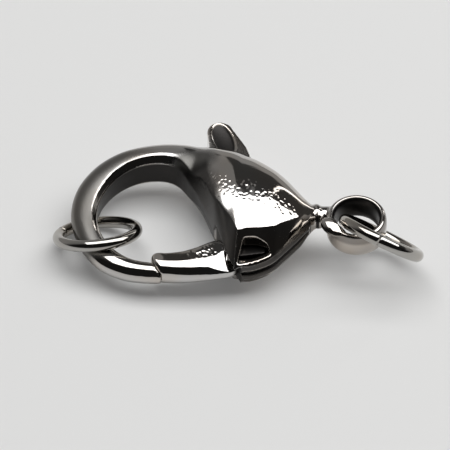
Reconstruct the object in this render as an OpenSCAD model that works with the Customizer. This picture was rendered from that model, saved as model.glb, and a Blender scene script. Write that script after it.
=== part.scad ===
// Lobster clasp with a jump ring at each end, lying on a flat surface.
// The clasp is drawn in its own plane: the eye's centre is the origin, the hook points to -X,
// the gate lies on the -Y side, and Z is the thickness, equal on both sides of the middle plane.
// The finished clasp is then tipped into the way it lies, with its lowest point on z = 0.

/* [Cast body] */
// Length from the hook's far side to the middle of the eye
reach = 16.25; // [12:0.25:24]
// Width across the hook, from the back of the bar to the front of the lower arm
claw_w = 10.1; // [9:0.1:12]
// Thickness of the hook's bar where it is strongest
bar_t = 2.4; // [2:0.05:2.8]
// Thickness of the shell over the pivot
shell_t = 4.4; // [3.8:0.1:5]

/* [Eye] */
// Outside diameter of the eye
eye_d = 3.45; // [3.3:0.05:4]
// Bore of the eye
eye_bore = 2.5; // [2.4:0.05:2.6]
// Height of the eye along its bore
eye_h = 1.5; // [1.3:0.05:1.6]

/* [Lever] */
// Thickness of the lever where it works between the two sides of the shell
lever_t = 1.3; // [1:0.05:1.5]
// Width of the gate arm beside the shell
arm_w = 2.2; // [1.8:0.05:2.4]
// Diameter of the gate arm at its nose
nose_d = 1.5; // [1.2:0.05:1.6]
// Diameter of the round heel about the pivot
heel_d = 2.6; // [2:0.1:3]
// Width of the thumb tab
tab_w = 1.5; // [1.2:0.05:1.7]
// How far the gate opens
open_angle = 20; // [15:1:21]
// Running gap between the lever and the body
gap = 0.1; // [0.06:0.01:0.15]

/* [Pivot] */
// Diameter of the pivot pin
pin_d = 0.8; // [0.6:0.05:1]
// How deep the pin sits in each side of the shell
pin_seat = 0.7; // [0.4:0.05:0.8]
// Clearance of the pin in its seats, across the diameter
pin_fit = 0.02; // [0.01:0.01:0.04]

/* [Jump rings] */
// Wire diameter of the ring on the hook
hook_wire_d = 0.68; // [0.5:0.02:0.7]
// Middle diameter of the ring on the hook
hook_ring_d = 4.46; // [4.3:0.02:5]
// Wire diameter of the ring in the eye
eye_wire_d = 0.72; // [0.5:0.02:0.76]
// Middle diameter of the ring in the eye
eye_ring_d = 4.56; // [4.4:0.02:5]
// Width of the cut where each ring's ends meet
ring_cut = 0.04; // [0.02:0.01:0.1]

/* [How it lies] */
// Roll about the length: plus lifts the gate side
lie_roll = -4.8; // [-10:0.1:15]
// Pitch, with the hook's end down
lie_pitch = 3.6; // [0:0.1:10]

/* [Hidden] */
$fn = 48;

// Sections of the casting, from the tip of the hook round to the neck. Each is a closed outline
// on the line from an inner to an outer point. Columns: the inner point and the outer point as
// shares of reach and claw_w, the height of the upright inner face, the place and height of the
// belly above it, the place and height of the ridge, the swell beyond it, the share of shell_t
// (the rest is bar_t) and the roundness. Places are shares of the width, heights of the thickness.
// The neck ends in the middle of the eye's wall.
IN_X = 0;
IN_Y = 1;
OUT_X = 2;
OUT_Y = 3;
FACE = 4;
BELLY_AT = 5;
BELLY_H = 6;
RIDGE_AT = 7;
RIDGE_H = 8;
SWELL = 9;
SHELL = 10;
ROUND = 11;
neck_end = -(eye_d + eye_bore) / 4 / reach;
sections = [
    [-0.665, -0.300, -0.665, -0.418, 0.40, 0.02, 0.45, 0.10, 0.50, 0.00, 0.0, 1.0],
    [-0.740, -0.292, -0.742, -0.416, 0.40, 0.02, 0.46, 0.10, 0.52, 0.00, 0.0, 1.0],
    [-0.800, -0.260, -0.822, -0.390, 0.38, 0.06, 0.47, 0.14, 0.55, 0.00, 0.0, 0.9],
    [-0.853, -0.190, -0.905, -0.310, 0.38, 0.08, 0.48, 0.15, 0.58, 0.00, 0.0, 0.6],
    [-0.892, -0.090, -0.968, -0.158, 0.38, 0.10, 0.49, 0.16, 0.59, 0.02, 0.0, 0.3],
    [-0.907, 0.025, -0.999, 0.045, 0.40, 0.11, 0.53, 0.17, 0.63, 0.03, 0.0, 0.1],
    [-0.894, 0.145, -0.981, 0.238, 0.46, 0.12, 0.62, 0.18, 0.72, 0.04, 0.0, 0.0],
    [-0.856, 0.257, -0.922, 0.392, 0.55, 0.12, 0.75, 0.18, 0.86, 0.05, 0.0, 0.0],
    [-0.803, 0.340, -0.841, 0.494, 0.60, 0.12, 0.82, 0.18, 0.93, 0.06, 0.0, 0.0],
    [-0.738, 0.388, -0.756, 0.544, 0.62, 0.12, 0.84, 0.18, 0.95, 0.07, 0.0, 0.0],
    [-0.671, 0.392, -0.671, 0.563, 0.62, 0.12, 0.84, 0.18, 0.95, 0.09, 0.0, 0.0],
    [-0.622, 0.352, -0.600, 0.553, 0.56, 0.10, 0.78, 0.16, 0.90, 0.13, 0.1, 0.0],
    [-0.582, 0.248, -0.548, 0.538, 0.32, 0.07, 0.50, 0.13, 0.64, 0.20, 0.8, 0.0],
    [-0.547, 0.153, -0.500, 0.528, 0.18, 0.08, 0.42, 0.16, 0.74, 0.16, 1.0, 0.0],
    [-0.512, 0.008, -0.460, 0.515, 0.14, 0.10, 0.46, 0.20, 0.83, 0.18, 1.0, 0.0],
    [-0.493, -0.112, -0.430, 0.500, 0.18, 0.11, 0.48, 0.23, 0.87, 0.20, 1.0, 0.0],
    [-0.462, -0.270, -0.405, 0.482, 0.36, 0.11, 0.42, 0.28, 0.87, 0.24, 1.0, 0.0],
    [-0.431, -0.388, -0.380, 0.462, 0.39, 0.20, 0.45, 0.33, 0.83, 0.27, 1.0, 0.0],
    [-0.402, -0.370, -0.350, 0.435, 0.33, 0.20, 0.50, 0.31, 0.83, 0.28, 1.0, 0.0],
    [-0.372, -0.366, -0.322, 0.402, 0.32, 0.20, 0.47, 0.33, 0.83, 0.27, 1.0, 0.0],
    [-0.337, -0.344, -0.290, 0.360, 0.32, 0.17, 0.44, 0.31, 0.82, 0.25, 1.0, 0.0],
    [-0.302, -0.310, -0.262, 0.318, 0.33, 0.14, 0.42, 0.30, 0.80, 0.21, 1.0, 0.0],
    [-0.268, -0.248, -0.235, 0.270, 0.33, 0.12, 0.41, 0.30, 0.75, 0.15, 1.0, 0.0],
    [-0.233, -0.180, -0.208, 0.215, 0.33, 0.12, 0.39, 0.30, 0.67, 0.09, 1.0, 0.0],
    [-0.200, -0.112, -0.182, 0.165, 0.31, 0.12, 0.36, 0.30, 0.57, 0.02, 1.0, 0.0],
    [-0.172, -0.052, -0.164, 0.135, 0.26, 0.10, 0.31, 0.28, 0.40, 0.05, 1.0, 0.2],
    [-0.152, -0.016, -0.148, 0.123, 0.22, 0.08, 0.27, 0.24, 0.33, 0.01, 1.0, 0.7],
    [-0.132, 0.002, -0.132, 0.121, 0.22, 0.00, 0.27, 0.10, 0.28, 0.00, 1.0, 1.0],
    [neck_end, 0.002, neck_end, 0.121, 0.22, 0.00, 0.27, 0.10, 0.28, 0.00, 1.0, 1.0],
];
// Steps drawn between two sections, and points along the curved back of half a section
section_steps = 2;
back_points = 9;

// Catmull-Rom value between b and c
function smooth(a, b, c, d, t) =
    0.5 * (2 * b + (c - a) * t + (2 * a - 5 * b + 4 * c - d) * t * t + (3 * b - a - 3 * c + d) * t * t * t);
function row(i) = sections[max(0, min(len(sections) - 1, i))];
function row_at(i, t) = smooth(row(i - 1), row(i), row(i + 1), row(i + 2), t);
rows = [
    for (i = [0:len(sections) - 2]) for (k = [0:section_steps - 1]) row_at(i, k / section_steps),
    sections[len(sections) - 1],
];

// Upper half of a section as pairs of the share across it and the height
function half_height(r) = (bar_t * (1 - r[SHELL]) + shell_t * r[SHELL]) / 2;
function upper_half(r) = let (h = half_height(r)) [
    [0, r[FACE] * h],
    [r[BELLY_AT], r[BELLY_H] * h],
    for (k = [0:back_points - 1]) let (a = 90 * k / back_points)
        [r[RIDGE_AT] + (1 - r[RIDGE_AT]) * sin(a), h * (r[RIDGE_H] * pow(cos(a), 0.85) + r[SWELL] * sin(2 * a))],
];
function round_half(r) = let (h = half_height(r) * r[RIDGE_H]) [
    for (k = [0:back_points + 1]) let (a = k < 2 ? 165 - 25 * k : 115 * (1 - (k - 2) / back_points))
        [0.5 + 0.5 * cos(a), h * sin(a)],
];
function mix_half(r) = let (sharp = upper_half(r), soft = round_half(r))
    [for (k = [0:len(sharp) - 1]) sharp[k] * (1 - r[ROUND]) + soft[k] * r[ROUND]];
function full_section(r) = let (half = mix_half(r)) [
    for (p = half) p,
    [1, 0],
    for (k = [len(half) - 1:-1:0]) [half[k][0], -half[k][1]],
];
function in_point(r) = [r[IN_X] * reach, r[IN_Y] * claw_w];
function out_point(r) = [r[OUT_X] * reach, r[OUT_Y] * claw_w];
function placed_section(r) = let (a = in_point(r), b = out_point(r))
    [for (p = full_section(r)) [a[0] + (b[0] - a[0]) * p[0], a[1] + (b[1] - a[1]) * p[0], p[1]]];
// Closed skin through a list of rings that all have the same number of points
function skin_points(rings) = [for (ring = rings) for (p = ring) p];
function skin_faces(count, around) = concat(
    [[for (k = [around - 1:-1:0]) k]],
    [for (i = [0:count - 2]) for (k = [0:around - 1]) let (n = (k + 1) % around)
        [i * around + k, (i + 1) * around + n, (i + 1) * around + k]],
    [for (i = [0:count - 2]) for (k = [0:around - 1]) let (n = (k + 1) % around)
        [i * around + k, i * around + n, (i + 1) * around + n]],
    [[for (k = [0:around - 1]) (count - 1) * around + k]]
);
casting = [for (r = rows) placed_section(r)];

module casting_skin() {
    polyhedron(skin_points(casting), skin_faces(len(casting), len(casting[0])));
}

// Where the lever turns
pivot = [-0.369 * reach, -0.05 * claw_w];
slot_h = lever_t + 2 * gap;
// The joint between the hook's tip and the nose of the gate is an arc about the pivot
joint_r = 0.385 * reach;
joint_gap = 0.5 * gap;

// Sections of the gate arm across its length, from the nose to the end under the ear.
// Columns: the place along reach, the middle as a share of claw_w, half the width as a share of
// arm_w and half the thickness as a share of nose_d.
AT = 0;
MIDDLE = 1;
HALF_W = 2;
HALF_T = 3;
arm_sections = [
    [-0.7175, -0.302, 0.050, 0.28],
    [-0.7140, -0.303, 0.150, 0.38],
    [-0.7060, -0.308, 0.235, 0.46],
    [-0.6930, -0.318, 0.315, 0.49],
    [-0.6800, -0.325, 0.348, 0.50],
    [-0.6650, -0.327, 0.352, 0.50],
    [-0.6200, -0.324, 0.385, 0.49],
    [-0.5820, -0.313, 0.430, 0.48],
    [-0.5480, -0.297, 0.480, 0.47],
    [-0.5120, -0.278, 0.540, 0.45],
    [-0.4800, -0.266, 0.560, 0.43],
    [-0.4430, -0.264, 0.510, 0.42],
    [-0.4150, -0.258, 0.400, 0.38],
    [-0.4000, -0.250, 0.240, 0.26],
];
arm_points = 20;
// Squareness of the arm's sections on the opening's side and on the outer side: 2 is an ellipse,
// more is fuller at the corners
inner_full = 4;
outer_full = 2.3;
function signed_pow(v, e) = sign(v) * pow(abs(v), e);
function arm_ring(r) = [
    for (k = [0:arm_points - 1]) let (a = -360 * k / arm_points, full = cos(a) > 0 ? inner_full : outer_full) [
        r[AT] * reach,
        r[MIDDLE] * claw_w + r[HALF_W] * arm_w * signed_pow(cos(a), 2 / full),
        r[HALF_T] * nose_d * signed_pow(sin(a), 2 / full),
    ],
];
arm = [for (r = arm_sections) arm_ring(r)];

// Outline of the lever's middle part about the pivot: the root that carries the arm, and the stem
// of the tab. The stem starts at tab_foot and leans back by tab_lean from the line across the clasp.
tab_lean = 17.5;
tab_foot = [0.006 * reach, 0.12 * claw_w];
tab_reach = 0.67 * claw_w;
tab_flare = 1.45;
root_reach = 0.25 * claw_w;
root_w = 0.8 * arm_w;
function root_outline(more) = [
    [-root_w * 0.55 - more, 0],
    [-root_w * 0.75 - more, -root_reach - more],
    [root_w * 0.45 + more, -root_reach * 0.86 - more],
    [root_w * 0.5 + more, 0],
];
function stem_outline(more) = [
    [tab_w * tab_flare / 2 + more, -0.3 * heel_d - more],
    [tab_w * tab_flare / 2 + more, tab_reach * 0.66],
    [tab_w / 2 + more, tab_reach - tab_w / 2],
    [-tab_w / 2 - more, tab_reach - tab_w / 2],
    [-tab_w * tab_flare / 2 - more, tab_reach * 0.66],
    [-tab_w * tab_flare / 2 - more, -0.3 * heel_d - more],
];
// The arm's outline near the shell, widened by the running gap
function arm_outline(more) = concat(
    [for (r = arm_sections) if (r[AT] > -0.56) [r[AT] * reach, r[MIDDLE] * claw_w + r[HALF_W] * arm_w + more] - pivot],
    [let (r = arm_sections[len(arm_sections) - 1]) [r[AT] * reach + 2 * more, r[MIDDLE] * claw_w] - pivot],
    [for (i = [len(arm_sections) - 1:-1:0]) let (r = arm_sections[i]) if (r[AT] > -0.56)
        [r[AT] * reach, r[MIDDLE] * claw_w - r[HALF_W] * arm_w - more] - pivot]
);

module lever_plan(more) {
    polygon(root_outline(more));
    translate(tab_foot) rotate(tab_lean) polygon(stem_outline(more));
}

// The room that the lever needs inside the shell, from closed to open, and along the joint at its nose
room_steps = 6;
heel_sides = 30;
module lever_room() {
    translate([pivot[0], pivot[1], -slot_h / 2]) linear_extrude(slot_h) union() {
        polygon([for (k = [0:heel_sides - 1]) let (a = 360 * k / heel_sides) (heel_d / 2 + gap) * [cos(a), sin(a)]]);
        for (k = [0:room_steps]) rotate(-open_angle * k / room_steps) {
            lever_plan(gap);
            polygon(arm_outline(gap));
        }
    }
}
module joint_room() {
    intersection() {
        translate([pivot[0], pivot[1], -bar_t]) cylinder(r = joint_r, h = 2 * bar_t);
        translate([-0.76 * reach, -0.46 * claw_w, -bar_t]) cube([0.11 * reach, 0.2 * claw_w, 2 * bar_t]);
    }
}

module eye_of_body() {
    wall = (eye_d - eye_bore) / 2;
    crown_r = 1.3 * eye_h;
    rotate_extrude() intersection() {
        translate([eye_d / 2 - 1.5 * wall, -eye_h / 2]) square([1.5 * wall, eye_h]);
        translate([eye_d / 2 - crown_r, 0]) circle(r = crown_r);
    }
}

// The window in the upper side of the shell, just behind the ear, down to the lever
window_low = 0.1 * shell_t;
module window() {
    translate([0, 0, window_low]) linear_extrude(shell_t) polygon([
        [-0.418 * reach, -0.362 * claw_w],
        [-0.394 * reach, -0.222 * claw_w],
        [-0.352 * reach, -0.218 * claw_w],
        [-0.314 * reach, -0.240 * claw_w],
        [-0.302 * reach, -0.288 * claw_w],
        [-0.337 * reach, -0.322 * claw_w],
        [-0.372 * reach, -0.344 * claw_w],
        [-0.400 * reach, -0.352 * claw_w],
    ]);
}

// The groove between the two rims of the shell's outer edge, narrowing towards the neck
rim_h = 0.16 * shell_t;
module rim_groove() {
    intersection() {
        linear_extrude(shell_t, center = true) polygon([
            [-0.395 * reach, -0.40 * claw_w],
            [-0.395 * reach, -0.332 * claw_w],
            [-0.372 * reach, -0.328 * claw_w],
            [-0.337 * reach, -0.308 * claw_w],
            [-0.302 * reach, -0.272 * claw_w],
            [-0.268 * reach, -0.212 * claw_w],
            [-0.233 * reach, -0.144 * claw_w],
            [-0.200 * reach, -0.078 * claw_w],
            [-0.175 * reach, -0.025 * claw_w],
            [-0.150 * reach, -0.40 * claw_w],
        ]);
        rotate([90, 0, 0]) linear_extrude(claw_w) polygon([
            [-0.40 * reach, -0.5 * rim_h],
            [-0.15 * reach, -0.3 * rim_h],
            [-0.15 * reach, 0.3 * rim_h],
            [-0.40 * reach, 0.5 * rim_h],
        ]);
    }
}

module pin_bore(d) {
    translate([pivot[0], pivot[1], -slot_h / 2 - pin_seat]) cylinder(d = d, h = slot_h + 2 * pin_seat);
}

module clasp_body() {
    color("#55524f") difference() {
        union() {
            casting_skin();
            eye_of_body();
        }
        translate([0, 0, -eye_h]) cylinder(d = eye_bore, h = 2 * eye_h);
        lever_room();
        joint_room();
        window();
        rim_groove();
        pin_bore(pin_d + pin_fit);
    }
}

module lever() {
    color("#6b6865") difference() {
        union() {
            intersection() {
                polyhedron(skin_points(arm), skin_faces(len(arm), arm_points));
                translate([pivot[0], pivot[1], -nose_d]) cylinder(r = joint_r - joint_gap, h = 2 * nose_d);
            }
            translate([pivot[0], pivot[1], -lever_t / 2]) linear_extrude(lever_t) union() {
                circle(d = heel_d);
                lever_plan(0);
                translate(tab_foot) rotate(tab_lean) translate([0, tab_reach - tab_w / 2]) circle(d = tab_w);
            }
        }
        pin_bore(pin_d + gap);
    }
}

module pivot_pin() {
    color("#3d3b3a") pin_bore(pin_d);
}

// Where each jump ring hangs: the hook's ring round the bar from its innermost point, in shares of
// that ring's middle diameter, and the eye's ring through the bore, in shares of the eye's diameter.
// Polar and azimuth give the ring's axis.
hook_ring_place = [-0.907 * reach + 0.008 * hook_ring_d, 0.025 * claw_w - 0.187 * hook_ring_d, -0.024 * hook_ring_d];
hook_ring_polar = 32.1;
hook_ring_azimuth = 101;
eye_ring_place = [0.4, -0.318, 0.038] * eye_d;
eye_ring_polar = 49.1;
eye_ring_azimuth = 55;
// Where each ring's cut lies, round its own axis
hook_ring_cut_at = 60;
eye_ring_cut_at = 200;

// A jump ring about a slanting axis, with a fine cut where its ends meet
module jump_ring(place, polar, azimuth, middle_d, wire_d, cut_at) {
    cut_angle = 360 * ring_cut / (PI * middle_d);
    translate(place) rotate([0, polar, azimuth]) rotate(cut_at)
        rotate_extrude(angle = 360 - cut_angle) translate([middle_d / 2, 0]) circle(d = wire_d);
}

module hook_ring() {
    color("#77746f") jump_ring(hook_ring_place, hook_ring_polar, hook_ring_azimuth, hook_ring_d, hook_wire_d, hook_ring_cut_at);
}

module eye_ring() {
    color("#77746f") jump_ring(eye_ring_place, eye_ring_polar, eye_ring_azimuth, eye_ring_d, eye_wire_d, eye_ring_cut_at);
}

// A point or a direction tipped into the way the clasp lies
function rolled(p) = [p[0], p[1] * cos(lie_roll) + p[2] * sin(lie_roll), p[2] * cos(lie_roll) - p[1] * sin(lie_roll)];
function pitched(p) = [p[0] * cos(lie_pitch) - p[2] * sin(lie_pitch), p[1], p[0] * sin(lie_pitch) + p[2] * cos(lie_pitch)];
function tipped(p) = pitched(rolled(p));

// Low and high corners of the tipped pieces: a round of radius r about an axis reaches
// r * sqrt(1 - a * a) along a direction in which the axis has the share a
function round_reach(axis, r) = let (t = tipped(axis)) [for (a = t) r * sqrt(max(0, 1 - a * a))];
function ring_axis(polar, azimuth) = [sin(polar) * cos(azimuth), sin(polar) * sin(azimuth), cos(polar)];
function both_sides(p, side) = [tipped(p) - side, tipped(p) + side];
tab_end = pivot + tab_foot + (tab_reach - tab_w / 2) * [-sin(tab_lean), cos(tab_lean)];
corners = concat(
    [for (ring = casting) for (p = ring) tipped(p)],
    [for (ring = arm) for (p = ring) tipped(p)],
    [for (side = [-1, 1]) for (p = both_sides([tab_end[0], tab_end[1], side * lever_t / 2],
        round_reach([0, 0, 1], tab_w / 2))) p],
    [for (side = [-1, 1]) for (p = both_sides([0, 0, side * eye_h / 2], round_reach([0, 0, 1], eye_d / 2 - 0.13 * eye_h))) p],
    both_sides(hook_ring_place, round_reach(ring_axis(hook_ring_polar, hook_ring_azimuth), hook_ring_d / 2)
        + [1, 1, 1] * hook_wire_d / 2),
    both_sides(eye_ring_place, round_reach(ring_axis(eye_ring_polar, eye_ring_azimuth), eye_ring_d / 2)
        + [1, 1, 1] * eye_wire_d / 2)
);
low = [for (k = [0:2]) min([for (p = corners) p[k]])];
high = [for (k = [0:2]) max([for (p = corners) p[k]])];

// The whole clasp tipped, with the middle of its footprint at the origin and its lowest point on z = 0
module lying() {
    translate([-(low[0] + high[0]) / 2, -(low[1] + high[1]) / 2, -low[2]]) rotate([-lie_roll, -lie_pitch, 0]) children();
}

lying() clasp_body();
lying() lever();
lying() pivot_pin();
lying() hook_ring();
lying() eye_ring();
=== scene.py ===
# Lobster clasp with a jump ring at each end, lying on a pale surface.
# Lengths are millimetres in the clasp's own plane: the eye's centre is the origin, the hook points
# to -X, the gate lies on the -Y side and Z is the thickness. lieDown puts them into the frame.
import math

import bmesh
import bpy
from mathutils import Matrix, Vector


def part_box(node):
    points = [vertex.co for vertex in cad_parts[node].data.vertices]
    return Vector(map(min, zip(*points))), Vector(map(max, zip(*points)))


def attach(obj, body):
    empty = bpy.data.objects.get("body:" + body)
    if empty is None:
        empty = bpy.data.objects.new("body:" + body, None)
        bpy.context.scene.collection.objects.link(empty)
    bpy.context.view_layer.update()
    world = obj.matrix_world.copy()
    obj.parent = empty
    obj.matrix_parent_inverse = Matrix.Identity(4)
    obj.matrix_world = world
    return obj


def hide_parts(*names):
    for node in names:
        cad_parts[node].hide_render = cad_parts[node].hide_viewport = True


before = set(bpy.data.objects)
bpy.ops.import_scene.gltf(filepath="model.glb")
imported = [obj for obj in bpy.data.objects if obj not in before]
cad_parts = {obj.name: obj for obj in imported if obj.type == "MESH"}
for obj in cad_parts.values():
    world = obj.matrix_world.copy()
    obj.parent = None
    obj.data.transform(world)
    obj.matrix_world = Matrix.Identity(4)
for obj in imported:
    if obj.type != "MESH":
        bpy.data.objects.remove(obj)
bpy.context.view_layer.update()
mm = 0.001
print("frame loaded:", sorted(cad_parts))

clasp = {
    "reach": 16.25, "width": 10.1, "barT": 2.4, "shellT": 4.4,
    "pivotX": -0.369, "pivotY": -0.05, "gap": 0.1,
    "roll": -4.8, "pitch": 3.6,
}
reach, width = clasp["reach"], clasp["width"]
pivot = Vector((clasp["pivotX"] * reach, clasp["pivotY"] * width, 0))


def turned(degrees, axis):
    return Matrix.Rotation(math.radians(degrees), 4, axis)


# the hidden pin stands at the pivot, so its box says where the frame has the clasp
tilt = turned(-clasp["pitch"], "Y") @ turned(-clasp["roll"], "X")
pinLow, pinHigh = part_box("pivot_pin")
pinMiddle = (pinLow + pinHigh) / 2
lieDown = Matrix.Translation(pinMiddle - tilt @ (pivot * mm)) @ tilt @ Matrix.Scale(mm, 4)


# outlines and curves

def inMillimetres(outline):
    return [(x * reach, y * width) for x, y in outline]


def atPivot(outline):
    return [Vector(p) + Vector((pivot.x, pivot.y)) for p in outline]


def rotated(outline, degrees):
    turn = Matrix.Rotation(math.radians(degrees), 2)
    return [turn @ Vector(p) for p in outline]


def arcPoints(centre, radius, start, end, count):
    points = []
    for k in range(count + 1):
        a = math.radians(start + (end - start) * k / count)
        points.append(Vector((centre[0] + radius * math.cos(a), centre[1] + radius * math.sin(a))))
    return points


def circle(radius, count):
    return arcPoints((0, 0), radius, 0, 360 - 360 / count, count - 1)


def fullCos(a, fullness):
    return math.copysign(abs(math.cos(a)) ** (2 / fullness), math.cos(a))


def ease(low, high, value):
    t = max(0.0, min(1.0, (value - low) / (high - low)))
    return t * t * (3 - 2 * t)


def smoothRow(rows, position):
    i = min(int(position), len(rows) - 2)
    t = position - i
    a, b, c, d = (rows[max(0, min(len(rows) - 1, i + k))] for k in (-1, 0, 1, 2))
    row = []
    for p, q, r, s in zip(a, b, c, d):
        square = (2 * p - 5 * q + 4 * r - s) * t * t
        cube = (3 * q - p - 3 * r + s) * t ** 3
        row.append(0.5 * (2 * q + (r - p) * t + square + cube))
    return row


# mesh helpers

def meshObject(name, points, faces):
    mesh = bpy.data.meshes.new(name)
    mesh.from_pydata(points, [], faces)
    mesh.validate()
    piece = bpy.data.objects.new(name, mesh)
    bpy.context.scene.collection.objects.link(piece)
    return piece


def fixNormals(piece):
    build = bmesh.new()
    build.from_mesh(piece.data)
    bmesh.ops.recalc_face_normals(build, faces=build.faces)
    build.to_mesh(piece.data)
    build.free()


def loft(name, rings, closedLoop=False):
    count, around = len(rings), len(rings[0])
    points = [tuple(p) for ring in rings for p in ring]
    faces = []
    for i in range(count if closedLoop else count - 1):
        j = (i + 1) % count
        for k in range(around):
            n = (k + 1) % around
            faces.append((i * around + k, i * around + n, j * around + n, j * around + k))
    if not closedLoop:
        faces.append(tuple(range(around - 1, -1, -1)))
        faces.append(tuple((count - 1) * around + k for k in range(around)))
    piece = meshObject(name, points, faces)
    fixNormals(piece)
    return piece


def loftRows(name, rows, steps, section):
    count = (len(rows) - 1) * steps
    return loft(name, [section(smoothRow(rows, k / steps)) for k in range(count + 1)])


def tube(name, path, radii, around=20):
    loops = []
    for k, p in enumerate(path):
        along = (path[min(k + 1, len(path) - 1)] - path[max(k - 1, 0)]).normalized()
        across = along.cross(Vector((0, 0, 1))).normalized()
        lift = across.cross(along)
        loop = []
        for j in range(around):
            a = 2 * math.pi * j / around
            loop.append(p + radii[k] * (math.cos(a) * across + math.sin(a) * lift))
        loops.append(loop)
    return loft(name, loops)


def turnedProfile(name, profile, segments):
    rings = []
    for k in range(segments):
        a = 2 * math.pi * k / segments
        rings.append([(r * math.cos(a), r * math.sin(a), z) for r, z in profile])
    return loft(name, rings, closedLoop=True)


def prism(name, outline, low, high):
    points = [(x, y, low) for x, y in outline] + [(x, y, high) for x, y in outline]
    n = len(outline)
    faces = [tuple(range(n - 1, -1, -1)), tuple(range(n, 2 * n))]
    faces += [(k, (k + 1) % n, n + (k + 1) % n, n + k) for k in range(n)]
    piece = meshObject(name, points, faces)
    fixNormals(piece)
    return piece


def ellipsoid(name, place, radii, around=40, upward=20):
    build = bmesh.new()
    bmesh.ops.create_uvsphere(build, u_segments=around, v_segments=upward, radius=1)
    piece = meshObject(name, [], [])
    build.to_mesh(piece.data)
    build.free()
    piece.data.transform(place @ Matrix.Diagonal((*radii, 1)))
    return piece


def applyModifiers(piece):
    depsgraph = bpy.context.evaluated_depsgraph_get()
    mesh = bpy.data.meshes.new_from_object(piece.evaluated_get(depsgraph))
    piece.modifiers.clear()
    old = piece.data
    piece.data = mesh
    bpy.data.meshes.remove(old)


def combine(piece, other, operation, solver="MANIFOLD"):
    modifier = piece.modifiers.new(operation, "BOOLEAN")
    modifier.operation = operation
    modifier.solver = solver
    modifier.object = other
    applyModifiers(piece)
    bpy.data.objects.remove(other)


def softenEdges(piece, voxel, rounds):
    remesh = piece.modifiers.new("remesh", "REMESH")
    remesh.mode = "VOXEL"
    remesh.voxel_size = voxel
    smooth = piece.modifiers.new("smooth", "SMOOTH")
    smooth.factor = 0.5
    smooth.iterations = rounds
    applyModifiers(piece)


def layDown(piece, place=Matrix()):
    piece.data.transform(lieDown @ place)
    for face in piece.data.polygons:
        face.use_smooth = True


# cast body

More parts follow.
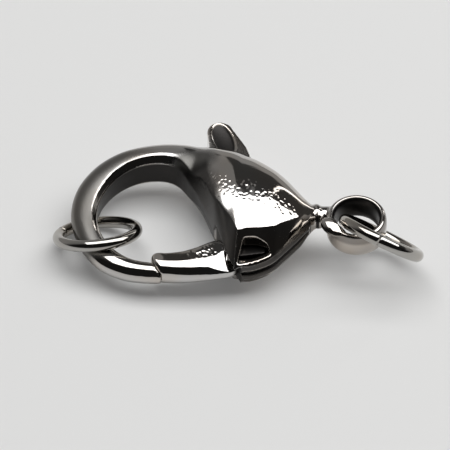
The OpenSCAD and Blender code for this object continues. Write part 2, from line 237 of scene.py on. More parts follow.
casting = {
    "steps": 9, "backPoints": 22, "voxel": 0.066, "smoothRounds": 5,
    # columns: inner point and outer point as shares of reach and width, height of the inner face,
    # place and height of the belly, place and height of the ridge, swell, share of shellT, roundness
    "sections": [
        [-0.665, -0.300, -0.665, -0.418, 0.40, 0.02, 0.45, 0.10, 0.50, 0.00, 0.0, 1.0],
        [-0.740, -0.292, -0.742, -0.416, 0.40, 0.02, 0.46, 0.10, 0.52, 0.00, 0.0, 1.0],
        [-0.800, -0.260, -0.822, -0.390, 0.38, 0.06, 0.47, 0.14, 0.55, 0.00, 0.0, 0.9],
        [-0.853, -0.190, -0.905, -0.310, 0.38, 0.08, 0.48, 0.15, 0.58, 0.00, 0.0, 0.6],
        [-0.892, -0.090, -0.968, -0.158, 0.38, 0.10, 0.49, 0.16, 0.59, 0.02, 0.0, 0.3],
        [-0.907, 0.025, -0.999, 0.045, 0.40, 0.11, 0.53, 0.17, 0.63, 0.03, 0.0, 0.1],
        [-0.894, 0.145, -0.981, 0.238, 0.46, 0.12, 0.62, 0.18, 0.72, 0.04, 0.0, 0.0],
        [-0.856, 0.257, -0.922, 0.392, 0.55, 0.12, 0.75, 0.18, 0.86, 0.05, 0.0, 0.0],
        [-0.803, 0.340, -0.841, 0.494, 0.60, 0.12, 0.82, 0.18, 0.93, 0.06, 0.0, 0.0],
        [-0.738, 0.388, -0.756, 0.544, 0.62, 0.12, 0.84, 0.18, 0.95, 0.07, 0.0, 0.0],
        [-0.671, 0.392, -0.671, 0.563, 0.62, 0.12, 0.84, 0.18, 0.95, 0.09, 0.04, 0.0],
        [-0.622, 0.352, -0.600, 0.553, 0.56, 0.10, 0.78, 0.16, 0.90, 0.13, 0.2, 0.0],
        [-0.582, 0.248, -0.548, 0.538, 0.32, 0.07, 0.50, 0.13, 0.64, 0.20, 0.66, 0.0],
        [-0.547, 0.153, -0.500, 0.528, 0.18, 0.08, 0.46, 0.16, 0.74, 0.16, 0.95, 0.0],
        [-0.512, 0.008, -0.460, 0.515, 0.15, 0.07, 0.48, 0.13, 0.80, 0.19, 1.0, 0.0],
        [-0.493, -0.112, -0.430, 0.500, 0.18, 0.10, 0.52, 0.19, 0.83, 0.22, 1.0, 0.0],
        [-0.462, -0.270, -0.405, 0.482, 0.32, 0.13, 0.60, 0.25, 0.84, 0.25, 1.0, 0.0],
        [-0.431, -0.388, -0.380, 0.462, 0.32, 0.12, 0.58, 0.24, 0.84, 0.25, 1.0, 0.0],
        [-0.402, -0.370, -0.350, 0.435, 0.31, 0.12, 0.58, 0.24, 0.84, 0.25, 1.0, 0.0],
        [-0.372, -0.366, -0.322, 0.402, 0.31, 0.13, 0.58, 0.25, 0.84, 0.25, 1.0, 0.0],
        [-0.337, -0.344, -0.290, 0.360, 0.31, 0.13, 0.56, 0.255, 0.81, 0.245, 1.0, 0.0],
        [-0.302, -0.310, -0.262, 0.318, 0.31, 0.13, 0.54, 0.26, 0.77, 0.22, 1.0, 0.0],
        [-0.268, -0.248, -0.235, 0.270, 0.31, 0.13, 0.50, 0.265, 0.70, 0.18, 1.0, 0.0],
        [-0.233, -0.180, -0.208, 0.215, 0.31, 0.13, 0.46, 0.27, 0.61, 0.13, 1.0, 0.0],
        [-0.200, -0.112, -0.182, 0.165, 0.30, 0.13, 0.40, 0.27, 0.51, 0.07, 1.0, 0.0],
        [-0.172, -0.052, -0.164, 0.135, 0.26, 0.10, 0.31, 0.28, 0.40, 0.05, 1.0, 0.2],
        [-0.152, -0.016, -0.148, 0.123, 0.22, 0.08, 0.27, 0.24, 0.33, 0.01, 1.0, 0.7],
        [-0.132, 0.002, -0.132, 0.121, 0.22, 0.00, 0.27, 0.10, 0.28, 0.00, 1.0, 1.0],
        [-0.0915, 0.002, -0.0915, 0.121, 0.22, 0.00, 0.27, 0.10, 0.28, 0.00, 1.0, 1.0],
    ],
    # a section runs from the inner face (0) over the belly (1) to the ridge (2) and down the back to the
    # middle plane; where it is round, the same points lie on a half circle, in degrees from its outer point
    "stops": [0, 0.35, 0.7, 1, 1.3, 1.65, 2], "back": 8, "backFullness": 0.85,
    "roundFrom": 165, "roundStep": 25,
    "eyeD": 3.45, "eyeBore": 2.5, "eyeH": 1.6, "eyeFull": 3.0,
    "eyeSegments": 96, "eyeAround": 32, "borePoints": 90,
    # the beads along the shell's front, from one row of the sections to another
    "beadR": 0.36, "beadFrom": 17.6, "beadTo": 25.0, "beadSteps": 60, "beadApart": 0.97,
    "beadTaper": 0.45, "beadTaperAt": (0.8, 1.0),
    # columns: middle, radii, turn about Z, tilt to the front
    "lumps": [
        [(-2.20, 0.62, 0.05), (0.42, 0.78, 0.66), 10, 0],
        [(-1.36, -0.78, 0.68), (0.86, 0.50, 0.22), -42, 16],
    ],
}


def halfHeight(shell):
    return (clasp["barT"] * (1 - shell) + clasp["shellT"] * shell) / 2


def halfProfile(row):
    face, bellyAt, bellyH, ridgeAt, ridgeH, swell, shell, roundness = row[4:]
    height = halfHeight(shell)
    belly, ridge = Vector((bellyAt, bellyH * height)), Vector((ridgeAt, ridgeH * height))
    points, back = casting["backPoints"], casting["back"]
    profile = []
    for t in casting["stops"] + [2 + back * (k + 1) / points for k in range(points - 1)]:
        degrees = casting["roundFrom"] - casting["roundStep"] * min(t, 2)
        if t <= 1:
            sharp = Vector((bellyAt * t, (face + (bellyH - face) * t) * height))
        elif t <= 2:
            sharp = belly.lerp(ridge, t - 1)
        else:
            degrees *= 1 - (t - 2) / back
            a = math.radians(90 * (t - 2) / back)
            rise = ridgeH * math.cos(a) ** casting["backFullness"] + swell * math.sin(2 * a)
            sharp = Vector((ridgeAt + (1 - ridgeAt) * math.sin(a), height * rise))
        s = math.radians(degrees)
        onCircle = Vector((0.5 + 0.5 * math.cos(s), height * ridgeH * math.sin(s)))
        profile.append(sharp.lerp(onCircle, max(0, min(1, roundness))))
    return profile


def castingSection(row):
    half = halfProfile(row)
    full = half + [Vector((1, 0))] + [Vector((p.x, -p.y)) for p in reversed(half)]
    inner = Vector((row[0] * reach, row[1] * width))
    outer = Vector((row[2] * reach, row[3] * width))
    return [(*inner.lerp(outer, p.x), p.y) for p in full]


def eyeBlank():
    half, fullness = casting["eyeH"] / 2, casting["eyeFull"]
    wall = (casting["eyeD"] - casting["eyeBore"]) / 4
    middle = (casting["eyeD"] + casting["eyeBore"]) / 4
    profile = []
    for k in range(casting["eyeAround"]):
        a = 2 * math.pi * k / casting["eyeAround"]
        profile.append((middle + wall * fullCos(a, fullness), half * fullCos(a - math.pi / 2, fullness)))
    return turnedProfile("eyeBlank", profile, casting["eyeSegments"])


def rimBead(side):
    start, end, count = casting["beadFrom"], casting["beadTo"], casting["beadSteps"]
    path, radii = [], []
    for k in range(count + 1):
        row = smoothRow(casting["sections"], start + (end - start) * k / count)
        taper = 1 - casting["beadTaper"] * ease(*casting["beadTaperAt"], k / count)
        radius = casting["beadR"] * halfHeight(row[10]) / (clasp["shellT"] / 2) * taper
        path.append(Vector((row[0] * reach, row[1] * width + radius, side * casting["beadApart"] * radius)))
        radii.append(radius)
    return tube("bead", path, radii)


# lever: its sizes also cut the room for it in the casting

lever = {
    "thick": 1.3, "armW": 2.2, "noseD": 1.5, "heelD": 2.6, "heelPoints": 60, "opens": 20,
    "tabW": 1.5, "tabFlare": 1.45, "tabLean": 17.5, "tabFoot": (0.006, 0.12), "tabReach": 0.682,
    "tabShoulder": 0.66, "tabLow": 0.3, "tabPoints": 24, "dish": (0.58, 1.30, 0.16), "dishAt": 0.80,
    # the root's corners: shares of rootW and rootReach, and the way a gap moves them
    "rootReach": 0.25, "rootW": 0.8,
    "root": [(-0.55, 0, -1, 0), (-0.75, -1, -1, -1), (0.45, -0.86, 1, -1), (0.5, 0, 1, 0)],
    # columns: place along reach, middle as a share of width, half width of armW, half thickness of noseD
    "armSections": [
        [-0.7175, -0.302, 0.050, 0.28],
        [-0.7140, -0.303, 0.150, 0.38],
        [-0.7060, -0.308, 0.235, 0.46],
        [-0.6930, -0.318, 0.315, 0.49],
        [-0.6800, -0.325, 0.348, 0.50],
        [-0.6650, -0.327, 0.352, 0.50],
        [-0.6200, -0.324, 0.385, 0.49],
        [-0.5820, -0.313, 0.430, 0.48],
        [-0.5480, -0.297, 0.480, 0.47],
        [-0.5120, -0.278, 0.540, 0.45],
        [-0.4800, -0.266, 0.560, 0.43],
        [-0.4430, -0.264, 0.510, 0.42],
        [-0.4150, -0.258, 0.400, 0.38],
        [-0.4000, -0.250, 0.240, 0.26],
    ],
    "armSteps": 6, "armAround": 48, "innerFull": 4, "outerFull": 2.3, "armHidden": -0.56,
    # the nose and the hook's tip meet on an arc about the pivot
    "jointR": 0.385, "jointGap": 0.05, "jointPoints": 180, "jointHalf": 2.4, "noseHalf": 2,
    "jointBlock": [(-0.76, -0.46), (-0.65, -0.46), (-0.65, -0.26), (-0.76, -0.26)],
    # the flat facet on the gate's right end
    "facetAt": (-7.6, -2.9, 0.56), "facetLean": 15, "facetSide": 13,
    "facetHalf": (1.6, 1.3), "facetHigh": 1,
    "voxel": 0.05, "smoothRounds": 5, "roomSteps": 6, "roomPoints": 30, "roomStagger": 0.0001,
}
tabFoot = Vector((lever["tabFoot"][0] * reach, lever["tabFoot"][1] * width))


def rootOutline(more):
    w, r = lever["rootW"] * lever["armW"], lever["rootReach"] * width
    return [(x * w + moreX * more, y * r + moreY * more) for x, y, moreX, moreY in lever["root"]]


def stemOutline(more):
    half, tip = lever["tabW"] / 2, lever["tabReach"] * width
    wide, low = half * lever["tabFlare"] + more, -lever["tabLow"] * lever["heelD"] - more
    shoulder = tip * lever["tabShoulder"]
    outline = [(wide, low), (wide, shoulder), (half + more, tip - half)]
    outline += arcPoints((0, tip - half), half + more, 0, 180, lever["tabPoints"])[1:-1]
    outline += [(-half - more, tip - half), (-wide, shoulder), (-wide, low)]
    return [p + tabFoot for p in rotated(outline, lever["tabLean"])]


def armOutline(more):
    upper, lower = [], []
    hidden = [row for row in lever["armSections"] if row[0] > lever["armHidden"]]
    for at, middle, halfW, _ in hidden:
        x, half = at * reach - pivot.x, halfW * lever["armW"]
        upper.append((x, middle * width + half + more - pivot.y))
        lower.append((x, middle * width - half - more - pivot.y))
    end = (hidden[-1][0] * reach + 2 * more - pivot.x, hidden[-1][1] * width - pivot.y)
    return upper + [end] + lower[::-1]


def leverRoom():
    gap, steps = clasp["gap"], lever["roomSteps"]
    high = lever["thick"] / 2 + gap
    room = prism("room", atPivot(circle(lever["heelD"] / 2 + gap, lever["roomPoints"])), -high, high)
    for k in range(steps + 1):
        turn = -lever["opens"] * k / steps
        half = high + lever["roomStagger"] * k
        for outline in (rootOutline(gap), stemOutline(gap), armOutline(gap)):
            combine(room, prism("roomPart", atPivot(rotated(outline, turn)), -half, half), "UNION")
    return room


def jointCutter():
    half = lever["jointHalf"]
    disc = prism("joint", atPivot(circle(lever["jointR"] * reach, lever["jointPoints"])), -half, half)
    combine(disc, prism("block", inMillimetres(lever["jointBlock"]), -half, half), "INTERSECT")
    return disc


# openings in the shell: the window beside the gate, the groove along the front, the lower ear

opening = {
    "windowLow": 0.1,
    "window": [
        (-0.418, -0.362), (-0.394, -0.222), (-0.352, -0.218), (-0.314, -0.240), (-0.302, -0.288),
        (-0.337, -0.322), (-0.372, -0.344), (-0.400, -0.352),
    ],
    # the groove's rim runs from one place along the reach to another, with these half heights
    "rimAt": (-0.44, -0.15), "rimHigh": (0.66, 0.45),
    "groove": [
        (-0.440, -0.45), (-0.440, -0.300), (-0.408, -0.300), (-0.402, -0.336), (-0.372, -0.330),
        (-0.337, -0.308), (-0.302, -0.272), (-0.268, -0.212), (-0.233, -0.144), (-0.200, -0.078),
        (-0.180, -0.040), (-0.165, -0.45),
    ],
    "lowEar": [(-0.450, -0.45), (-0.450, -0.295), (-0.412, -0.305), (-0.402, -0.45)],
    "earBelow": 0.1, "earTop": -0.3,
}


def windowCutter():
    shell = clasp["shellT"]
    return prism("window", inMillimetres(opening["window"]), opening["windowLow"] * shell, shell)


def rimGrooveCutter():
    half = clasp["shellT"] / 2
    groove = prism("groove", inMillimetres(opening["groove"]), -half, half)
    start, end = (at * reach for at in opening["rimAt"])
    high, low = opening["rimHigh"]
    wedge = prism("wedge", [(start, -high), (end, -low), (end, low), (start, high)], 0, width)
    wedge.data.transform(turned(90, "X"))
    combine(groove, wedge, "INTERSECT")
    earLow, earHigh = -half - opening["earBelow"], opening["earTop"]
    combine(groove, prism("lowEar", inMillimetres(opening["lowEar"]), earLow, earHigh), "UNION")
    return groove


# Masks that the finish reads, worked out on the finished mesh: painted shade, nearly black in recesses and
# on walls that should look dark and dark grey on the hook, both also dulling the surface; and how pitted,
# grained or knobbly a point is. A pair says at which values a mask starts and is whole.

marks = {
    "pitFrom": (-8.8, 1.8), "pitTo": (-4.1, 0.0), "pitWide": 1.15,
    "pitEdge": (0.2, 1.0), "pitZ": (1.0, 1.3),
    "grainZ": (0.0, 0.3),
    "neckAt": -2.25, "neckWide": 0.75, "neckEdge": (0.5, 1.0),
    # painted shade in the eye's bore and on the outer side of its rim
    "eyeFrom": -1.9, "boreFacing": (0.1, 0.5),
    "rim": 0.5, "rimFacing": (0.0, -0.4), "rimZ": (0.1, 0.35), "rimTop": (0.9, 0.6),
    # painted shade on the shell's wall beside the opening
    "flank": 0.90, "flankLean": (0.20, 0.42), "flankRight": (-5.2, -6.2), "flankLeft": (-10.6, -9.6),
    "flankY": (3.8, 3.0),
    # painted shade on the hook's inner wall, nearly black, and on its top, dark grey
    "hookTo": -0.44 * reach, "hookMiddle": Vector((-0.70 * reach, 0.03 * width)),
    "insideFacing": (0.45, 0.75), "insideTop": (0.10, 0.35), "insideLow": (-0.45, -0.25),
    "side": 0.85, "sideFacing": (0.36, 0.12), "sideX": (-11.0, -13.6), "sideY": (-3.2, -2.4),
    "end": 0.95, "endTop": (-0.1, 0.15),
    # painted shade on the shell's front wall, in its groove and in the slot inside it
    "front": 0.92, "frontTo": -2.6, "frontX": (-7.2, -6.6), "frontZ": (0.9, 0.6),
    "frontLean": (-0.25, -0.5), "frontTop": (0.62, 0.45), "frontLow": (-0.34, -0.16),
    "grooveFrom": -0.42 * reach, "grooveZ": (0.16, 0.05),
    "slotZ": 0.9, "slotEdge": (0.8, 0.7), "slotRoof": (-0.3, -0.7), "slotWall": (0.3, 0.8),
    # the lever: painted shade inside the shell and in the tab's dish, and the grain on the tab
    "rootX": (-0.435 * reach, -0.42 * reach), "rootY": (3.4, 3.0),
    "dishZ": (0.65, 0.59), "dishTop": (0.2, 0.5), "dishY": (3.9, 4.2),
    "tabGrain": 0.6, "tabGrainY": (3.9, 4.4), "tabGrainZ": (0.3, 0.5),
}
# oval spots: middle, half widths, and the shares of these between which a spot fades
spots = {
    "hookGrain": ((-15.2, 0.6), (1.0, 2.1), (0.4, 1.0)),
    # a spot of painted shade at the hook's end
    "hookEnd": ((-9.3, 3.6), (1.7, 1.2), (0.5, 1.0)),
    "gatePits": ((-8.9, -2.5), (1.7, 0.8), (0.3, 1.0)),
}


def fillMask(piece, name, test):
    mesh = piece.data
    layer = mesh.attributes.new(name, "FLOAT", "POINT")
    layer.data.foreach_set("value", [test(v.co, v.normal) for v in mesh.vertices])


def mark(name, value):
    return ease(*marks[name], value)


def spot(name, p):
    at, wide, edge = spots[name]
    return 1 - ease(*edge, math.hypot((p.x - at[0]) / wide[0], (p.y - at[1]) / wide[1]))


def hookFacing(p, n):
    inward = (marks["hookMiddle"] - Vector((p.x, p.y))).normalized()
    return inward.x * n.x + inward.y * n.y


# painted shade, nearly black, in the eye's bore and on the outer side of its rim
def eyeRecessPaintedShade(p, n):
    away = math.hypot(p.x, p.y)
    facing = -(p.x * n.x + p.y * n.y) / away
    bore = mark("boreFacing", facing) if away < casting["eyeD"] / 2 else 0
    rim = marks["rim"] * mark("rimFacing", facing) * mark("rimZ", p.z) * mark("rimTop", n.z)
    return max(bore, rim)


# painted shade, nearly black, on the shell's front wall, in its groove and in the slot
def shellRecessPaintedShade(p, n):
    front = 0
    if p.x < marks["frontTo"]:
        front = mark("frontX", p.x) * mark("frontLean", n.y) * mark("frontTop", n.z)
        front *= marks["front"] * mark("frontLow", n.z) * mark("frontZ", abs(p.z))
    if abs(p.z) > marks["slotZ"]:
        return front
    toPivot = (pivot.x - p.x) * n.x + (pivot.y - p.y) * n.y
    roof = mark("slotRoof", n.z if p.z > 0 else -n.z)
    slot = max(roof, mark("slotWall", toPivot)) * mark("slotEdge", abs(p.z))
    groove = mark("grooveZ", abs(p.z)) if p.x > marks["grooveFrom"] and p.y < pivot.y else 0
    return max(front, slot, groove)


# painted shade, nearly black, where the body's walls and hollows are made to look dark
def bodyRecessPaintedShade(p, n):
    if p.x > marks["eyeFrom"]:
        return eyeRecessPaintedShade(p, n)
    flank = marks["flank"] * mark("flankLean", -n.x) * mark("flankRight", p.x) * mark("flankLeft", p.x)
    flank *= mark("flankY", p.y)
    if p.x < marks["hookTo"]:
        inside = mark("insideFacing", hookFacing(p, n)) * mark("insideLow", n.z)
        return max(flank, inside * (1 - mark("insideTop", n.z)))
    return max(flank, shellRecessPaintedShade(p, n))


# painted shade, dark grey, on the hook's left top and on a spot at its end; it also dulls them
def bodyPaintedShade(p, n):
    if p.x > marks["hookTo"]:
        return 0
    side = marks["side"] * mark("sideFacing", hookFacing(p, n)) * mark("sideX", p.x) * mark("sideY", p.y)
    return max(side, marks["end"] * spot("hookEnd", p) * mark("endTop", n.z))


def bodyPits(p, n):
    a, b, flat = Vector(marks["pitFrom"]), Vector(marks["pitTo"]), Vector((p.x, p.y))
    t = max(0, min(1, (flat - a).dot(b - a) / (b - a).length_squared))
    away = (flat - a.lerp(b, t)).length
    return mark("pitZ", p.z) * (1 - mark("pitEdge", away / marks["pitWide"]))


def bodyKnobs(p, n):
    return 1 - mark("neckEdge", abs(p.x - marks["neckAt"]) / marks["neckWide"])


# painted shade, nearly black, on the lever inside the shell and in the tab's dish
def leverRecessPaintedShade(p, n):
    root = mark("rootX", p.x) * mark("rootY", p.y)
    dish = mark("dishZ", p.z) * mark("dishTop", n.z) * mark("dishY", p.y)
    return max(root, dish)


def leverGrain(p, n):
    return marks["tabGrain"] * mark("tabGrainY", p.y) * mark("tabGrainZ", p.z)


def markBody(body):
    fillMask(body, "recessPaintedShade", bodyRecessPaintedShade)
    fillMask(body, "paintedShade", bodyPaintedShade)
    fillMask(body, "pitted", bodyPits)
    fillMask(body, "grained", lambda p, n: mark("grainZ", p.z) * spot("hookGrain", p))
    fillMask(body, "knobbly", bodyKnobs)


def markLever(gate):
    fillMask(gate, "recessPaintedShade", leverRecessPaintedShade)
    fillMask(gate, "pitted", lambda p, n: spot("gatePits", p))
    fillMask(gate, "grained", leverGrain)


# the pieces

def makeBody():
    body = loftRows("clasp_casting", casting["sections"], casting["steps"], castingSection)
    combine(body, eyeBlank(), "UNION")
    for middle, radii, turn, lean in casting["lumps"]:
        place = Matrix.Translation(middle) @ turned(turn, "Z") @ turned(lean, "X")
        combine(body, ellipsoid("lump", place, radii), "UNION")
    boreRound = circle(casting["eyeBore"] / 2, casting["borePoints"])
    bore = prism("bore", boreRound, -casting["eyeH"], casting["eyeH"])
    for cutter in (bore, leverRoom(), windowCutter(), rimGrooveCutter(), jointCutter()):
        combine(body, cutter, "DIFFERENCE")
    for side in (1, -1):
        combine(body, rimBead(side), "UNION", "EXACT")
    softenEdges(body, casting["voxel"], casting["smoothRounds"])
    markBody(body)
    layDown(body)
    return body


def armSection(row):
    at, middle, halfW, halfT = row
    section = []
    for j in range(lever["armAround"]):
        a = -2 * math.pi * j / lever["armAround"]
        fullness = lever["innerFull"] if math.cos(a) > 0 else lever["outerFull"]
        y = middle * width + halfW * lever["armW"] * fullCos(a, fullness)
        section.append((at * reach, y, halfT * lever["noseD"] * fullCos(a - math.pi / 2, fullness)))
    return section


def thumbDish():
    lean = math.radians(lever["tabLean"])
    alongTab = lever["tabReach"] * width * lever["dishAt"]
    centre = Vector((pivot.x, pivot.y)) + tabFoot + alongTab * Vector((-math.sin(lean), math.cos(lean)))
    place = Matrix.Translation((centre.x, centre.y, lever["thick"] / 2)) @ turned(lever["tabLean"], "Z")
    return ellipsoid("dish", place, lever["dish"])


def gateFacet():
    x, y = lever["facetHalf"]
    facet = prism("facet", [(-x, -y), (x, -y), (x, y), (-x, y)], 0, lever["facetHigh"])
    lean = turned(lever["facetLean"], "X") @ turned(lever["facetSide"], "Y")
    facet.data.transform(Matrix.Translation(lever["facetAt"]) @ lean)
    return facet


def makeLever():
    piece = loftRows("gate_lever", lever["armSections"], lever["armSteps"], armSection)
    limit = circle(lever["jointR"] * reach - lever["jointGap"], lever["jointPoints"])
    combine(piece, prism("noseLimit", atPivot(limit), -lever["noseHalf"], lever["noseHalf"]), "INTERSECT")
    combine(piece, gateFacet(), "DIFFERENCE")
    half = lever["thick"] / 2
    for outline in (circle(lever["heelD"] / 2, lever["heelPoints"]), rootOutline(0), stemOutline(0)):
        combine(piece, prism("leverPart", atPivot(outline), -half, half), "UNION")
    combine(piece, thumbDish(), "DIFFERENCE")
    softenEdges(piece, lever["voxel"], lever["smoothRounds"])
    markLever(piece)
    layDown(piece)
    return piece


rings = {
    "hook_ring": {
        "place": (-14.704, -0.582, -0.107), "polar": 32.1, "azimuth": 101,
        "middleD": 4.46, "wireD": 0.68, "cutAt": 60,
    },
    "eye_ring": {
        "place": (1.38, -1.0971, 0.1311), "polar": 49.1, "azimuth": 55,
        "middleD": 4.56, "wireD": 0.72, "cutAt": 200,
    },
}
wireMesh = {"cut": 0.04, "turns": 160, "around": 28}


def makeRing(name):
    size = rings[name]
    middle, half, around = size["middleD"] / 2, size["wireD"] / 2, wireMesh["around"]
    cutAngle = 360 * wireMesh["cut"] / (math.pi * size["middleD"])
    loops = []
    for k in range(wireMesh["turns"] + 1):
        a = math.radians(size["cutAt"] + (360 - cutAngle) * k / wireMesh["turns"])
        loop = []
        for b in (2 * math.pi * j / around for j in range(around)):
            r = middle + half * math.cos(b)
            loop.append((r * math.cos(a), r * math.sin(a), half * math.sin(b)))
        loops.append(loop)
    piece = loft(name + "_wire", loops)
    turn = turned(size["azimuth"], "Z") @ turned(size["polar"], "Y")
    layDown(piece, Matrix.Translation(size["place"]) @ turn)
    return piece


body = makeBody()
print("body made:", len(body.data.polygons), "faces")
gate = makeLever()
print("lever made:", len(gate.data.polygons), "faces")
hookRing = makeRing("hook_ring")
eyeRing = makeRing("eye_ring")
print("rings made")

for piece, node, owner, finish in (
    (body, "clasp_body", "frame", "black_nickel_casting"),
    (gate, "lever", "lever", "black_nickel_lever"),
    (hookRing, "hook_ring", "frame", "black_nickel_wire"),
    (eyeRing, "eye_ring", "frame", "black_nickel_wire"),
):
    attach(piece, owner)
    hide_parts(node)


# finish

def newGroup(name, inputs, outputs):
    group = bpy.data.node_groups.new(name, "ShaderNodeTree")
    for label, kind, value in inputs:
        socket = group.interface.new_socket(name=label, in_out="INPUT", socket_type=kind)
        socket.default_value = value
    for label, kind in outputs:
        group.interface.new_socket(name=label, in_out="OUTPUT", socket_type=kind)
    return group, group.nodes.new("NodeGroupInput"), group.nodes.new("NodeGroupOutput")


def feedSocket(tree, socket, value):
    if isinstance(value, bpy.types.NodeSocket):
        tree.links.new(value, socket)
    else:
        socket.default_value = value


def addNode(tree, kind, values=None, **settings):
    node = tree.nodes.new(kind)
    for key, value in settings.items():
        setattr(node, key, value)
    for key, value in (values or {}).items():
        feedSocket(tree, node.inputs[key], value)
    return node


def maths(tree, operation, first, second):
    return addNode(tree, "ShaderNodeMath", {0: first, 1: second}, operation=operation).outputs[0]


def product(tree, first, *others):
    for other in others:
        first = maths(tree, "MULTIPLY", first, other)
    return first


def total(tree, first, *others):
    for other in others:
        first = maths(tree, "ADD", first, other)
    return first


def noise(tree, where, scale, detail, distortion=0.0):
    values = {"Vector": where, "Scale": scale, "Detail": detail, "Distortion": distortion}
    return addNode(tree, "ShaderNodeTexNoise", values).outputs["Fac"]


def mapRange(tree, value, fromRange, toRange=(0.0, 1.0), **settings):
    values = {"Value": value, "From Min": fromRange[0], "From Max": fromRange[1]}
    values.update({"To Min": toRange[0], "To Max": toRange[1]})
    return addNode(tree, "ShaderNodeMapRange", values, **settings).outputs["Result"]


def blendColours(tree, factor, first, second):
    mix = addNode(tree, "ShaderNodeMix", {0: factor}, data_type="RGBA")
    colours = [socket for socket in mix.inputs if socket.type == "RGBA"]
    feedSocket(tree, colours[0], first)
    feedSocket(tree, colours[1], second)
    return next(socket for socket in mix.outputs if socket.type == "RGBA")


# scales are per metre and depths are micrometres
skin = {
    # columns: input that sets its strength, scale, detail, distortion, depth
    "noises": [
        ("Waviness", 420.0, 1.0, 0.0, 5.0),
        ("Peel", 2300.0, 2.0, 0.0, 0.5),
        ("Grain", 6500.0, 3.0, 1.2, 5.5),
        ("Knobs", 1500.0, 1.5, 0.0, 26.0),
    ],
    "pitScale": 4200.0, "pitRange": (0.05, 0.45), "pitDepth": 12.0,
    "scuffScale": 900.0, "scuffDetail": 4.0, "scuffRange": (0.45, 0.75), "micrometre": 0.000001,
}

plate = {
    "driftScale": 260.0, "driftDetail": 2.0, "driftRange": (0.4, 0.65), "wornRough": 0.05, "dullRough": 0.3,
    # painted shade colours: dark grey for the hook, nearly black for recesses and dark walls
    "paintedShadeColour": (0.12, 0.117, 0.11, 1), "recessPaintedShade": (0.035, 0.033, 0.032, 1),
}


def castSkinGroup():
    labels = ("Waviness", "Peel", "Pits", "Grain", "Knobs")
    inputs = [(label, "NodeSocketFloat", 0.0) for label in labels]
    outputs = [("Height", "NodeSocketFloat"), ("Wear", "NodeSocketFloat")]
    tree, feed, out = newGroup("castSkin", inputs, outputs)
    where = tree.nodes.new("ShaderNodeTexCoord").outputs["Object"]
    heights = []
    for label, scale, detail, distortion, depth in skin["noises"]:
        layer = noise(tree, where, scale, detail, distortion)
        heights.append(product(tree, layer, depth, feed.outputs[label]))
    values = {"Vector": where, "Scale": skin["pitScale"]}
    cells = addNode(tree, "ShaderNodeTexVoronoi", values, feature="SMOOTH_F1").outputs["Distance"]
    pits = mapRange(tree, cells, skin["pitRange"], (-1.0, 0.0))
    heights.append(product(tree, pits, skin["pitDepth"], feed.outputs["Pits"]))
    tree.links.new(total(tree, *heights), out.inputs["Height"])
    scuff = noise(tree, where, skin["scuffScale"], skin["scuffDetail"])
    scuff = mapRange(tree, scuff, skin["scuffRange"])
    tree.links.new(maths(tree, "MAXIMUM", scuff, feed.outputs["Grain"]), out.inputs["Wear"])
    return tree


def plateToneGroup():
    grey = (0.5, 0.5, 0.5, 1)
    inputs = [(label, "NodeSocketColor", grey) for label in ("Plate", "Warm")]
    inputs += [(label, "NodeSocketFloat", 0.0) for label in ("RecessPaintedShade", "PaintedShade", "Wear", "Polish")]
    outputs = [("Color", "NodeSocketColor"), ("Roughness", "NodeSocketFloat")]
    tree, feed, out = newGroup("plateTone", inputs, outputs)
    where = tree.nodes.new("ShaderNodeTexCoord").outputs["Object"]
    drift = noise(tree, where, plate["driftScale"], plate["driftDetail"])
    warmth = mapRange(tree, drift, plate["driftRange"])
    tone = blendColours(tree, warmth, feed.outputs["Plate"], feed.outputs["Warm"])
    # painted shade, dark grey, over the hook's top and end
    tone = blendColours(tree, feed.outputs["PaintedShade"], tone, plate["paintedShadeColour"])
    # painted shade, nearly black, over the recesses and dark walls
    tone = blendColours(tree, feed.outputs["RecessPaintedShade"], tone, plate["recessPaintedShade"])
    tree.links.new(tone, out.inputs["Color"])
    worn = product(tree, feed.outputs["Wear"], plate["wornRough"])
    dull = maths(tree, "MAXIMUM", feed.outputs["RecessPaintedShade"], feed.outputs["PaintedShade"])
    dull = product(tree, dull, plate["dullRough"])
    tree.links.new(total(tree, feed.outputs["Polish"], worn, dull), out.inputs["Roughness"])
    return tree


castSkin, plateTone = castSkinGroup(), plateToneGroup()

finishes = {
    "blackNickelCasting": {
        "Plate": (0.56, 0.55, 0.54, 1), "Warm": (0.55, 0.495, 0.44, 1), "Polish": 0.05,
        "Waviness": 1.0, "Peel": 1.0,
    },
    "blackNickelLever": {
        "Plate": (0.58, 0.57, 0.56, 1), "Warm": (0.57, 0.52, 0.47, 1), "Polish": 0.05,
        "Waviness": 0.7, "Peel": 0.8,
    },
    "blackNickelWire": {
        "Plate": (0.44, 0.43, 0.41, 1), "Warm": (0.38, 0.35, 0.31, 1), "Polish": 0.05,
        "Waviness": 2.6, "Peel": 4.0,
    },
}
maskInputs = {
    "recessPaintedShade": "RecessPaintedShade", "paintedShade": "PaintedShade",
    "pitted": "Pits", "grained": "Grain", "knobbly": "Knobs",
}


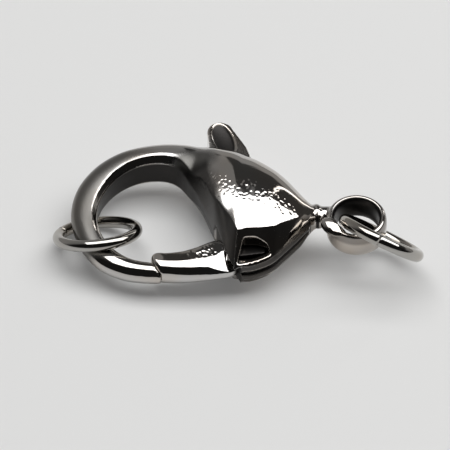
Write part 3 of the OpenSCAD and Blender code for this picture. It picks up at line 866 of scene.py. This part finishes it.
def platedMetal(name, masks):
    material = bpy.data.materials.new(name)
    material.use_nodes = True
    tree = material.node_tree
    shader = tree.nodes["Principled BSDF"]
    values = dict(finishes[name])
    for key in masks:
        values[maskInputs[key]] = addNode(tree, "ShaderNodeAttribute", attribute_name=key).outputs["Fac"]
    surfaceSkin = addNode(tree, "ShaderNodeGroup", node_tree=castSkin)
    tone = addNode(tree, "ShaderNodeGroup", {"Wear": surfaceSkin.outputs["Wear"]}, node_tree=plateTone)
    for label, value in values.items():
        owner = surfaceSkin if label in surfaceSkin.inputs else tone
        feedSocket(tree, owner.inputs[label], value)
    bumpValues = {"Height": surfaceSkin.outputs["Height"], "Distance": skin["micrometre"], "Strength": 1.0}
    bump = addNode(tree, "ShaderNodeBump", bumpValues)
    shader.inputs["Metallic"].default_value = 1
    tree.links.new(tone.outputs["Color"], shader.inputs["Base Color"])
    tree.links.new(tone.outputs["Roughness"], shader.inputs["Roughness"])
    tree.links.new(bump.outputs["Normal"], shader.inputs["Normal"])
    return material


def dress(piece, material):
    piece.data.materials.clear()
    piece.data.materials.append(material)


wire = platedMetal("blackNickelWire", ())
dress(body, platedMetal("blackNickelCasting", ("recessPaintedShade", "paintedShade", "pitted", "grained", "knobbly")))
dress(gate, platedMetal("blackNickelLever", ("recessPaintedShade", "pitted", "grained")))
for piece in (hookRing, eyeRing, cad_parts["pivot_pin"]):
    dress(piece, wire)
print("finish made")


# surface, light and camera

surface = {"half": 2, "colour": (0.61, 0.61, 0.605, 1), "roughness": 0.5, "glow": 0.11}
view = {
    "elevation": 48.6, "pixelsPerMm": 17.6, "eyeU": 356.5, "eyeV": 225, "frame": 450,
    "distance": 300, "sensor": 36, "clip": (0.01, 10),
}
studio = {
    "boxHeight": 0.30, "boxWide": (-0.18, 0.42), "boxDeep": (-0.067, 0.180), "boxRadiance": 3.3,
    # the room: nearly black in front, lit behind and brighter low down, with a dark card in it
    "front": 0.012, "behind": (-0.25, 0.40), "wall": (0.30, 0.23), "wallTurn": (0.20, 0.62),
    "card": 0.85, "cardX": (-0.09, -0.04), "cardZ": (0.28, 0.36), "tint": (1, 0.985, 0.965, 1),
    # the leaning strip of light on the right
    "strip": 2.6, "stripAcross": (0.70, 0.76), "stripLean": 0.55, "stripZ": (0.10, 0.70),
    "stripSoft": 0.012, "stripEnds": 0.05,
}


def makeFloor():
    half = surface["half"]
    corners = [(-half, -half, 0), (half, -half, 0), (half, half, 0), (-half, half, 0)]
    floor = meshObject("floor", corners, [(0, 1, 2, 3)])
    material = bpy.data.materials.new("paleSurface")
    material.use_nodes = True
    shader = material.node_tree.nodes["Principled BSDF"]
    shader.inputs["Base Color"].default_value = surface["colour"]
    shader.inputs["Roughness"].default_value = surface["roughness"]
    shader.inputs["Emission Color"].default_value = (1, 1, 1, 1)
    shader.inputs["Emission Strength"].default_value = surface["glow"]
    dress(floor, material)


def aimCamera():
    e = math.radians(view["elevation"])
    toward = (tilt @ Vector((0, -math.cos(e), math.sin(e)))).normalized()
    up = (tilt @ Vector((0, math.sin(e), math.cos(e)))).normalized()
    right = up.cross(toward)
    half = view["frame"] / 2
    middle = lieDown @ Vector(((half - view["eyeU"]) / view["pixelsPerMm"], 0, 0))
    middle += up * (view["eyeV"] - half) / view["pixelsPerMm"] * mm
    data = bpy.data.cameras.new("camera")
    data.sensor_width = view["sensor"]
    data.lens = view["distance"] * view["sensor"] / (view["frame"] / view["pixelsPerMm"])
    data.clip_start, data.clip_end = view["clip"]
    camera = bpy.data.objects.new("camera", data)
    bpy.context.scene.collection.objects.link(camera)
    turn = Matrix((right, up, toward)).transposed().to_4x4()
    camera.matrix_world = Matrix.Translation(middle + toward * view["distance"] * mm) @ turn
    bpy.context.scene.camera = camera


def softRamp(tree, value, fromRange, toRange=(0.0, 1.0)):
    return mapRange(tree, value, fromRange, toRange, interpolation_type="SMOOTHSTEP")


def softBand(tree, value, limits, soft):
    low, high = limits
    rise = softRamp(tree, value, (low - soft, low + soft))
    fall = softRamp(tree, value, (high - soft, high + soft), (1.0, 0.0))
    return product(tree, rise, fall)


def makeWorld():
    world = bpy.data.worlds.new("studio")
    bpy.context.scene.world = world
    world.use_nodes = True
    tree = world.node_tree
    background = tree.nodes["Background"]
    place = tree.nodes.new("ShaderNodeTexCoord").outputs["Generated"]
    x, y, z = addNode(tree, "ShaderNodeSeparateXYZ", {0: place}).outputs
    behind = softRamp(tree, y, studio["behind"])
    cardAcross = softRamp(tree, x, studio["cardX"], (0.0, studio["card"]))
    card = product(tree, cardAcross, softRamp(tree, z, studio["cardZ"]))
    wall = softRamp(tree, z, studio["wallTurn"], studio["wall"])
    wall = product(tree, wall, maths(tree, "SUBTRACT", 1.0, card))
    leaning = total(tree, x, product(tree, z, studio["stripLean"]))
    across = softBand(tree, leaning, studio["stripAcross"], studio["stripSoft"])
    ends = softBand(tree, z, studio["stripZ"], studio["stripEnds"])
    glow = product(tree, wall, behind)
    strip = product(tree, across, ends, behind, studio["strip"])
    tree.links.new(total(tree, glow, strip, studio["front"]), background.inputs["Strength"])
    background.inputs["Color"].default_value = studio["tint"]


def makeSoftbox():
    (left, right), (near, far) = studio["boxWide"], studio["boxDeep"]
    data = bpy.data.lights.new("softbox", "AREA")
    data.shape = "RECTANGLE"
    data.size, data.size_y = right - left, far - near
    data.energy = studio["boxRadiance"] * math.pi * data.size * data.size_y
    light = bpy.data.objects.new("softbox", data)
    light.location = ((left + right) / 2, (near + far) / 2, studio["boxHeight"])
    bpy.context.scene.collection.objects.link(light)


makeFloor()
aimCamera()
makeWorld()
makeSoftbox()
bpy.context.scene.view_settings.view_transform = "Standard"
print("stage made")
